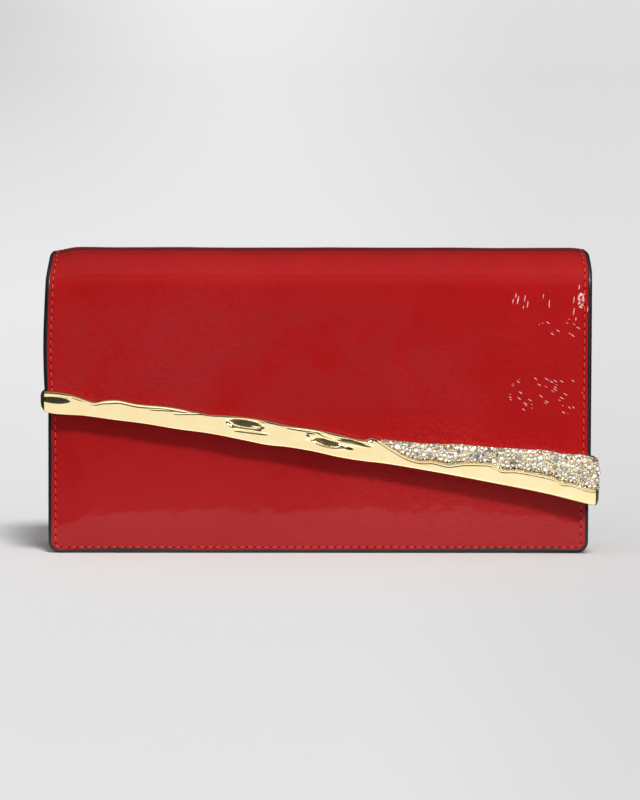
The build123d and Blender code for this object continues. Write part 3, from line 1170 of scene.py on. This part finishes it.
# ------- sculpted bar. Heights are above the flap's slanted edge, all in millimetres.
# top, low and ridge are measured outlines, rounded, not worked out from other sizes
bar = {
    "top": [
        (-110.3, 3.8), (-104, 4.6), (-98.5, 4.6), (-93, 3.8), (-89, 3.2), (-85, 4.6), (-80, 5.7),
        (-72, 5.5), (-60, 6.5), (-50, 6.4), (-43, 6.2), (-37, 7.0), (-25, 7.8), (-12, 7.3),
        (0, 7.6), (8, 7.2), (14, 6.7), (17.5, 6.9), (20.5, 8.1), (23.5, 7.8), (28, 8.2), (36, 8.9),
        (45, 9.7), (56, 11.6), (66, 12.3), (80, 13.9), (90, 15.0), (97, 14.8), (104, 15.8),
        (111.2, 15.2),
    ],
    "low": [
        (-110.3, 3.0), (-106, 3.7), (-100, 3.2), (-93, 2.4), (-82, 2.0), (-69, 1.4), (-56, 1.3),
        (-43, 0.8), (-28, 1.2), (-21, 1.4), (-12, 0.8), (-2, 0.8), (7, 1.3), (17, 1.2), (26, 0.7),
        (45, 0.6), (64, 0.9), (83, 1.3), (92, 1.7), (102, 2.5), (111.2, 3.2),
    ],
    "ridge": [
        (20, 9.0), (23, 8.4), (26, 7.0), (29, 5.6), (32, 4.3), (36, 3.1), (40, 2.8), (45, 3.6),
        (51, 3.3), (57, 5.0), (63, 6.0), (68, 6.5), (72, 5.0), (78, 5.8), (86, 5.8), (93, 5.3),
        (96, 4.0), (100, 4.3), (106, 3.4), (112, 3.5),
    ],
    # hollows whose floor climbs to the front along their lower edge
    # each: place, height, half length, half width, turn in degrees, depth
    "hollows": [
        (-104.6, 1.6, 6.2, 1.6, -5, 0.6),
        (-29.4, 5.3, 6.6, 1.7, -9, 0.95),
        (-35.0, 3.9, 1.5, 0.8, -60, 0.28),
        (-25.2, 3.9, 2.2, 0.9, -20, 0.25),
        (3.2, 3.5, 5.6, 1.6, -13, 0.95),
        (14.4, 5.4, 6.8, 0.8, -15, 0.35),
        (11.8, 2.7, 1.9, 0.8, -10, 0.2),
        (-3.4, 6.0, 2.2, 0.4, -10, 0.1),
    ],
    # thin dark lines: narrow grooves
    "grooves": [
        (-27.0, 2.3, 6.0, 0.32, -7, 0.28),
        (5.0, 5.3, 5.0, 0.26, -22, 0.2),
        (-82.5, 4.2, 3.2, 0.22, 2, 0.14),
        (-62.0, 5.0, 5.0, 0.22, -3, 0.14),
        (-52.0, 5.2, 5.5, 0.2, 0, 0.12),
    ],
    # soft rounded folds beside them
    "folds": [
        (-28.5, 3.1, 6.5, 0.5, -8, 0.16),
        (5.5, 2.2, 6.5, 0.6, -12, 0.12),
        (-4.6, 4.2, 1.2, 0.9, -60, 0.22),
        (19.2, 6.4, 1.7, 0.9, -25, 0.6),
        (9.0, 4.7, 7.5, 0.4, -12, 0.3),
    ],
    "topLift": 1.5,
    "lowLift": 0.8,
    "lift": 1.1,
    "depth": 6.6,
    "bedDrop": 1.9,
    "ridgeProud": 0.55,
    "rimDepth": 0.4,
    "ripple": 0.05,
    "lipWide": 0.75,
    "lipProud": 0.16,
    "squareness": 12,
    "squareLow": 30,
    "endRound": 2.2,
    "columns": 640,
    "rows": 84,
}


def inMetres(points):
    return [(x * mm, value * mm) for x, value in points]


barTop = inMetres(bar["top"])
barBottom = inMetres(bar["low"])
barRidge = inMetres(bar["ridge"])


def topAt(x):
    return edgeZ(x) + readCurve(barTop, x) + bar["topLift"] * mm


def lowAt(x):
    return edgeZ(x) - readCurve(barBottom, x) + bar["lowLift"] * mm


def ridgeAt(x):
    return edgeZ(x) + readCurve(barRidge, x) + bar["lift"] * mm


def inShape(x, z, shape):
    # place inside a turned oval: along it and across it, each 1 at its outline
    place, height, halfLength, halfWidth, turn, size = shape
    dx = x / mm - place
    dz = (z - edgeZ(place * mm)) / mm - height - bar["lift"]
    c, s = math.cos(math.radians(turn)), math.sin(math.radians(turn))
    return (dx * c + dz * s) / halfLength, (dz * c - dx * s) / halfWidth


def barRelief(x, z):
    # how far the front of the bar stands out from its plain face
    spot = Vector((x / (19 * mm), 3.7, z / (15 * mm)))
    relief = bar["ripple"] * mm * noise.noise(spot)
    for shape in bar["folds"]:
        along, across = inShape(x, z, shape)
        relief += shape[5] * mm * math.exp(-1.4 * (along**2 + across**2))
    for shape in bar["grooves"]:
        along, across = inShape(x, z, shape)
        relief -= shape[5] * mm * math.exp(-(along**4) - across**2)
    for shape in bar["hollows"]:
        along, across = inShape(x, z, shape)
        rim = math.sqrt(max(0.0, 1 - along**2))
        if rim > 0:
            climb = (across + rim) / 2
            relief -= shape[5] * mm * ease(0, 0.2, climb) * climb * ease(rim * 1.15, rim * 0.8, across)
        if shape[5] > 0.9:
            away = math.hypot(along, across)
            relief -= bar["rimDepth"] * mm * bell(away - 1, 0.13) * ease(1.3, -0.2, across)
    lip = ease(-100 * mm, -94 * mm, x) * ease(19 * mm, 14 * mm, x)
    lip *= ease(-0.35, 0.25, noise.noise(Vector((x / (11 * mm), 0.4, 8.1))))
    under = topAt(x) - z
    relief += bar["lipProud"] * mm * bell(under - bar["lipWide"] * 0.35 * mm, 0.4 * mm) * lip
    relief -= bar["lipProud"] * 1.2 * mm * bell(under - 1.5 * bar["lipWide"] * mm, 0.3 * mm) * lip
    bed = ease(20.5 * mm, 25 * mm, x)
    overRidge = z - ridgeAt(x)
    relief -= bar["bedDrop"] * mm * bed * ease(-0.1 * mm, 0.6 * mm, overRidge)
    relief += bar["ridgeProud"] * mm * bed * bell(overRidge + 0.2 * mm, 0.35 * mm)
    relief -= 0.12 * mm * bed * bell(overRidge + 1.0 * mm, 0.3 * mm)
    return relief


print("bar")
barStart = barTop[0][0]
barEnd = barTop[-1][0]
backRows = 4


def barPoint(share, row):
    x = barStart + (barEnd - barStart) * share
    endGap = min(x - barStart, barEnd - x)
    endRound = bar["endRound"] * mm
    narrow = 1.0
    if endGap < endRound:
        narrow = math.sqrt(max(0.0, 1 - (1 - endGap / endRound) ** 2)) * 0.96 + 0.04
    middle = (topAt(x) + lowAt(x)) / 2
    half = (topAt(x) - lowAt(x)) / 2
    if row > bar["rows"]:
        t = 1 - 2 * (row - bar["rows"]) / backRows
        return Vector((x, flapLow.y, middle + half * t * (0.35 + 0.65 * narrow)))
    t = math.sin(math.pi / 2 * (2 * row / bar["rows"] - 1))
    power = bar["squareness"] if t > 0 else bar["squareLow"]
    full = (max(0.0, 1 - abs(t) ** power)) ** (1 / power)
    z = middle + half * t * (0.35 + 0.65 * narrow)
    out = (bar["depth"] * mm * full + barRelief(x, middle + half * t) * (1 - abs(t) ** 12)) * narrow
    return Vector((x, flapLow.y - max(0.0, out), z))


totalRows = bar["rows"] + backRows
bpy.ops.mesh.primitive_grid_add(
    x_subdivisions=bar["columns"], y_subdivisions=totalRows, size=1, location=(0, 0, 0)
)
barPiece = nameIt("sculptedBar")
moveEach(barPiece, lambda co: barPoint(co.x + 0.5, round((co.y + 0.5) * totalRows)))
openEdit(barPiece)
bpy.ops.mesh.select_all(action="SELECT")
bpy.ops.mesh.remove_doubles(threshold=0.002 * mm)
bpy.ops.mesh.select_all(action="DESELECT")
bpy.ops.mesh.select_non_manifold()
bpy.ops.mesh.edge_face_add()
bpy.ops.mesh.select_all(action="SELECT")
bpy.ops.mesh.normals_make_consistent(inside=False)
closeEdit()
smoothIt(barPiece, 50)
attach(barPiece, "flap_front")

# ------- pave stones, largest first, and the small gold beads that grip them
stones = {
    "seed": 11,
    "tries": [(1.65, 12), (1.2, 60), (0.95, 500), (0.75, 3000), (0.58, 8000), (0.44, 9000)],
    "gap": 0.87,
    "start": 22.5,
    "end": 110.8,
    "sides": 8,
    "beadRadius": 0.2,
    "beads": 2600,
}


def makeStone():
    # a cut stone of radius 1, looking up: table, crown, girdle, pavilion
    bpy.ops.mesh.primitive_cylinder_add(
        vertices=stones["sides"], radius=1, depth=0.16, location=(0, 0, 0)
    )
    piece = nameIt("stone")
    openEdit(piece)
    pick(lambda co: co.z > 0)
    bpy.ops.mesh.extrude_region_move(TRANSFORM_OT_translate={"value": (0, 0, 0.2)})
    bpy.ops.transform.resize(value=(0.86, 0.86, 1), center_override=(0, 0, 0))
    bpy.ops.mesh.extrude_region_move(TRANSFORM_OT_translate={"value": (0, 0, 0.2)})
    bpy.ops.transform.resize(value=(0.66, 0.66, 1), center_override=(0, 0, 0))
    pick(lambda co: co.z < -0.05)
    bpy.ops.mesh.extrude_region_move(TRANSFORM_OT_translate={"value": (0, 0, -0.5)})
    bpy.ops.transform.resize(value=(0.2, 0.2, 1), center_override=(0, 0, 0))
    closeEdit()
    return piece


print("stones")
dice = random.Random(stones["seed"])
placed = []


def tryStone(radius, gap):
    x = dice.uniform(stones["start"], stones["end"]) * mm
    radius *= mm
    low = ridgeAt(x) + 0.1 * mm + radius * 0.75
    high = topAt(x) - radius * 0.55
    if high < low or x + radius > barEnd + 0.4 * mm:
        return
    z = dice.uniform(low, high)
    for otherX, otherZ, other in placed:
        if math.hypot(x - otherX, z - otherZ) < (radius + other) * gap:
            return
    placed.append((x, z, radius))


for radius, count in stones["tries"]:
    for _ in range(count):
        tryStone(radius * dice.uniform(0.88, 1.08), stones["gap"])

stone = makeStone()
cutStones = []
for x, z, radius in placed:
    copy = clearCopy(stone, "stone")
    tilt = Matrix.Rotation(dice.gauss(0, 0.2), 4, "X") @ Matrix.Rotation(dice.gauss(0, 0.2), 4, "Y")
    spin = Matrix.Rotation(dice.uniform(0, math.pi), 4, "Z")
    stretch = Matrix.Diagonal((dice.uniform(0.92, 1.08), dice.uniform(0.92, 1.08), 0.95, 1))
    standing = Matrix.Rotation(math.pi / 2, 4, "X")
    bedFace = flapLow.y - (bar["depth"] - bar["bedDrop"]) * mm
    y = bedFace - 0.35 * mm - radius * 0.5 * dice.uniform(0.7, 1.2)
    copy.data.transform(
        Matrix.Translation((x, y, z)) @ standing @ tilt @ spin @ stretch @ Matrix.Scale(radius, 4)
    )
    tint = copy.data.attributes.new("tint", "FLOAT", "POINT")
    tint.data.foreach_set("value", [dice.random()] * len(copy.data.vertices))
    cutStones.append(copy)
paveStones = joinAll(cutStones, "paveStones")
bpy.data.objects.remove(stone)
print("stones", len(placed))

bpy.ops.mesh.primitive_uv_sphere_add(segments=6, ring_count=4, radius=1, location=(0, 0, 0))
bead = nameIt("bead")
beads = []
for _ in range(stones["beads"]):
    before = len(placed)
    tryStone(stones["beadRadius"] * dice.uniform(0.8, 1.2), 0.96)
    if len(placed) > before:
        x, z, radius = placed[-1]
        copy = clearCopy(bead, "bead")
        y = flapLow.y - (bar["depth"] - bar["bedDrop"] + 0.75) * mm
        copy.data.transform(
            Matrix.Translation((x, y, z)) @ Matrix.Diagonal((radius, radius * 3.4, radius, 1))
        )
        beads.append(copy)
paveBeads = joinAll(beads, "paveBeads")
smoothIt(paveBeads, 80)
bpy.data.objects.remove(bead)
print("beads", len(beads))
for piece in (paveStones, paveBeads):
    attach(piece, "flap_front")

# ------- back board: flat behind the back leather, up to where the wrap's own board starts
print("back board")
boardHalf = bodyHalf - 5.5 * mm
backBoard = uprightSheet(
    "backBoard", boardHalf, 5.7 * mm, gussetHigh.z, backHigh.y - wrap["leather"], 4 * mm, facing=1
)
thicken(backBoard, wrap["board"])
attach(backBoard, "body")

# ------- which piece stands for which CAD nodes, and its finish and slot
dressing = [
    (rearLeather, patentLeather, "patent_leather", ["back_leather", "flap_top_leather"]),
    (flapLeather, patentLeather, "patent_leather", ["flap_leather", "flap_top_leather"]),
    (frontLeather, patentLeather, "patent_leather", ["front_leather"]),
    (gussetLeather, patentLeather, "patent_leather", ["gusset_leather"]),
    (pocketBinding, patentLeather, "patent_leather", ["slip_pocket_binding"]),
    (rearBoard, fibreBoard, "stiffener_board", ["back_board", "flap_top_board"]),
    (backBoard, fibreBoard, "stiffener_board", ["back_board"]),
    (flapBoard, fibreBoard, "stiffener_board", ["flap_board", "flap_top_board"]),
    (rearLining, liningFinish, "lining_fabric", ["back_lining", "flap_top_lining"]),
    (backCloth, liningFinish, "lining_fabric", ["back_lining"]),
    (flapLining, liningFinish, "lining_fabric", ["flap_lining", "flap_top_lining"]),
    (frontCloth, liningFinish, "lining_fabric", ["front_lining"]),
    (sleeveCloth, liningFinish, "lining_fabric", ["gusset_lining"]),
    (pocketCloth, liningFinish, "lining_fabric", ["slip_pocket"]),
    (barPiece, castGold, "gold_metal", ["bar_casting"]),
    (paveStones, stoneFinish, "crystal_glass", ["crystals"]),
    (paveBeads, beadGold, "gold_metal", []),
    (frontBead, edgePaint, None, []),
    (rearBead, edgePaint, None, []),
    (flapBead, edgePaint, None, []),
    (gussetBead, edgePaint, None, []),
]

for piece, material, slotName, nodes in dressing:
    keepRest(piece)
    piece.data.materials.clear()
    piece.data.materials.append(material)
    if nodes:
        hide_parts(*nodes)

shownNodes = {
    "front_board": fibreBoard,
    "base_board": fibreBoard,
    "snap_magnet": magnetFinish,
    "snap_socket_cup": beadGold,
    "snap_socket_plate": steelFinish,
    "snap_socket_washer": steelFinish,
    "snap_stud": steelFinish,
    "snap_stud_washer": steelFinish,
    "bar_screws": beadGold,
    "bar_washers": beadGold,
}
for name, material in shownNodes.items():
    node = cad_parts[name]
    node.data.materials.clear()
    node.data.materials.append(material)

# ------- studio: seamless bowl, soft lights, and dark flags that only reflections see; flags and roof glow dimly as painted reflections
studio = {
    "floorRadius": 5.2,
    "curveRadius": 2.8,
    "flagNear": 0.13,
    "flagFar": 3.45,
    "flagTop": 2.5,
    "world": 0.3,
    "keyPlace": (0.906, -1.57, 1.1),
    "keySize": 0.22,
    "keyPower": 35,
    "fillSide": math.radians(-8),
    "fillHeight": math.radians(32),
    "fillAngle": math.radians(100),
    "fillPower": 1.7,
    "floorKeySide": math.radians(17),
    "floorKeyHeight": math.radians(62),
    "floorKeyAngle": math.radians(13),
    "floorKeyPower": 2.42,
    "topWide": 3.0,
    "topLong": 2.1,
    "topPlace": (0, -1.5, 2.0),
    "topPower": 11,
    "goldTopPower": 14,
    "cardWide": 1.7,
    "cardLong": 1.19,
    "cardPlace": (0, -0.65, 0.078),
    "cardPower": 6.0,
}


def makeBowl():
    bpy.ops.mesh.primitive_circle_add(vertices=96, radius=studio["floorRadius"], fill_type="NGON")
    piece = nameIt("studioBowl")
    openEdit(piece)
    bpy.ops.mesh.select_all(action="SELECT")
    for turn in range(1, 11):
        before, now = math.radians(9 * turn - 9), math.radians(9 * turn)
        old = studio["floorRadius"] + studio["curveRadius"] * math.sin(before)
        new = studio["floorRadius"] + studio["curveRadius"] * math.sin(now)
        lift = studio["curveRadius"] * (math.cos(before) - math.cos(now))
        bpy.ops.mesh.extrude_region_move(TRANSFORM_OT_translate={"value": (0, 0, lift)})
        bpy.ops.transform.resize(value=(new / old, new / old, 1), center_override=(0, 0, 0))
    bpy.ops.mesh.delete(type="ONLY_FACE")
    bpy.ops.mesh.select_all(action="SELECT")
    bpy.ops.mesh.normals_make_consistent(inside=True)
    closeEdit()
    smoothIt(piece, 60)
    graph = Graph("studioPaper")
    x, y, z = [
        graph.make("ShaderNodeSeparateXYZ", sockets={"Vector": graph.place()}, output=axis)
        for axis in range(3)
    ]
    # painted light: the paper is painted a shade paler behind the object, and darker to the right and to
    # the far left where the light falls off
    fan = x / (y + 2.5).maths("MAXIMUM", y + 2.5, 0.6)
    pale = graph.ramp(y, -0.3, 1.2) * 0.10 + 0.705
    right = graph.ramp(fan, 0.0, 0.05) * (graph.ramp(y, 1.0, 4.5) * 0.05 + 0.08)
    farLeft = graph.ramp(fan, 0.0, -0.05) * graph.ramp(y, 0.8, 4.5) * 0.24
    level = pale * (1 - right) * (1 - farLeft)
    paper = graph.blend(level, (0, 0, 0, 1), (1, 1, 1, 1))
    piece.data.materials.append(
        graph.surface(Base_Color=paper, Roughness=0.85, Specular_IOR_Level=0.1)
    )
    piece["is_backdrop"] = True
    return piece


def hideFromAllButReflections(piece):
    piece.visible_camera = False
    piece.visible_diffuse = False
    piece.visible_shadow = False
    piece.visible_transmission = False
    piece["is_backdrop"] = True


def makeRoof():
    # a dim glowing sheet overhead, painted reflection for the shoulder; its glow is darker towards the
    # back
    bpy.ops.mesh.primitive_grid_add(x_subdivisions=2, y_subdivisions=2, size=1, location=(0, 0.28, 2.5))
    piece = nameIt("reflectionRoof")
    piece.scale = (6, 7.5, 1)
    bakePlace(piece)
    graph = Graph("roofCloth")
    y = graph.make("ShaderNodeSeparateXYZ", sockets={"Vector": graph.place()}, output=1)
    front = graph.ramp(y, -2.8, -2.6)
    weaveAndGlow = front * (graph.ramp(y, 3.2, -0.4) * 0.24 + graph.noise(graph.place(), 6, 2) * 0.02 + 0.03)
    piece.data.materials.append(
        graph.surface(Base_Color=(0, 0, 0, 1), Specular_IOR_Level=0.0,
                      Emission_Color=graph.blend(weaveAndGlow, (0, 0, 0, 1), (1, 1, 1, 1)),
                      Emission_Strength=1.0)
    )
    hideFromAllButReflections(piece)


def makeFlag():
    bpy.ops.mesh.primitive_circle_add(vertices=64, radius=studio["flagNear"], fill_type="NOTHING")
    piece = nameIt("reflectionFlag")
    grow = studio["flagFar"] / studio["flagNear"]
    openEdit(piece)
    bpy.ops.mesh.select_all(action="SELECT")
    bpy.ops.mesh.extrude_region_move(TRANSFORM_OT_translate={"value": (0, 0, 0.001)})
    bpy.ops.transform.resize(value=(grow, grow, 1), center_override=(0, 0, 0))
    bpy.ops.mesh.extrude_region_move(TRANSFORM_OT_translate={"value": (0, 0, studio["flagTop"])})
    closeEdit()
    piece.data.transform(Matrix.Translation((0, 0, 0.004)))
    # dim glow seen only in reflections: painted reflection of a dark room, brighter near the floor and up
    # the wall
    graph = Graph("flagCloth")
    x, y, z = [
        graph.make("ShaderNodeSeparateXYZ", sockets={"Vector": graph.place()}, output=axis)
        for axis in range(3)
    ]
    away = (x * x + y * y) ** 0.5
    nearFloor = graph.ramp(away, 0.36, 0.12) * 0.14
    high = graph.ramp(z, 0.3, 2.2) * 0.06
    level = nearFloor + high + 0.02
    piece.data.materials.append(
        graph.surface(Base_Color=(0, 0, 0, 1), Specular_IOR_Level=0.0,
                      Emission_Color=graph.blend(level, (0, 0, 0, 1), (1, 1, 1, 1)),
                      Emission_Strength=1.0)
    )
    hideFromAllButReflections(piece)


def onlyLights(light, pieces):
    group = bpy.data.collections.new(light.name + "Lit")
    for piece in pieces:
        group.objects.link(piece)
    light.light_linking.receiver_collection = group


def makeSun(name, side, height, angle, power, pieces):
    bpy.ops.object.light_add(type="SUN", location=(0, 0, 3))
    light = bpy.context.object
    light.name = name
    light.data.angle = angle
    light.data.energy = power
    towards = Vector((
        math.sin(side) * math.cos(height), -math.cos(side) * math.cos(height), math.sin(height)
    ))
    light.rotation_euler = towards.to_track_quat("Z", "Y").to_euler()
    onlyLights(light, pieces)


def makePanel(name, place, wide, long, power, aim):
    bpy.ops.object.light_add(type="AREA", location=place)
    light = bpy.context.object
    light.name = name
    light.data.shape = "RECTANGLE"
    light.data.size = wide
    light.data.size_y = long
    light.data.energy = power
    light.visible_camera = False
    light.rotation_euler = Vector(aim).to_track_quat("-Z", "Y").to_euler()
    return light


print("studio")
bowl = makeBowl()
makeFlag()
makeRoof()
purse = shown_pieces()
key = makePanel(
    "keyLight", studio["keyPlace"], studio["keySize"], studio["keySize"], studio["keyPower"],
    Vector((0, 0, 0.06)) - Vector(studio["keyPlace"]),
)
onlyLights(key, purse)
makeSun(
    "fillLight", studio["fillSide"], studio["fillHeight"], studio["fillAngle"], studio["fillPower"],
    purse,
)
makeSun(
    "floorKey", studio["floorKeySide"], studio["floorKeyHeight"], studio["floorKeyAngle"],
    studio["floorKeyPower"], [bowl],
)
gilded = [barPiece, paveStones, paveBeads]
for name, power in (("topLight", studio["topPower"]), ("goldTopLight", studio["goldTopPower"])):
    top = makePanel(
        name, studio["topPlace"], studio["topWide"], studio["topLong"], power, (0, 0.5, -1)
    )
    if name == "topLight":
        top.visible_glossy = False
    else:
        onlyLights(top, gilded)
card = makePanel(
    "goldCard", studio["cardPlace"], studio["cardWide"], studio["cardLong"], studio["cardPower"],
    (0, 0.124, 1),
)
onlyLights(card, gilded)
world = bpy.data.worlds.new("room")
scene.world = world
world.use_nodes = True
level = studio["world"]
world.node_tree.nodes["Background"].inputs["Color"].default_value = (level, level, level, 1)
scene.view_settings.view_transform = "Standard"

# ------- camera: a long lens, a little above and left of square on
shot = {
    "aim": Vector((0.4 * mm, frontLow.y, 61.3 * mm)),
    "distance": 2.5,
    "height": math.radians(6.3),
    "side": math.radians(-1.2),
    "roll": math.radians(0.19),
    "millimetreLens": 283.4,
}
out = Vector((
    math.sin(shot["side"]) * math.cos(shot["height"]),
    -math.cos(shot["side"]) * math.cos(shot["height"]),
    math.sin(shot["height"]),
))
bpy.ops.object.camera_add(location=shot["aim"] + out * shot["distance"])
camera = bpy.context.object
turn = (-out).to_track_quat("-Z", "Y").to_matrix() @ Matrix.Rotation(shot["roll"], 3, "Z")
camera.rotation_euler = turn.to_euler()
camera.data.lens = shot["millimetreLens"]
camera.data.clip_start = 0.1
camera.data.clip_end = 30
scene.camera = camera
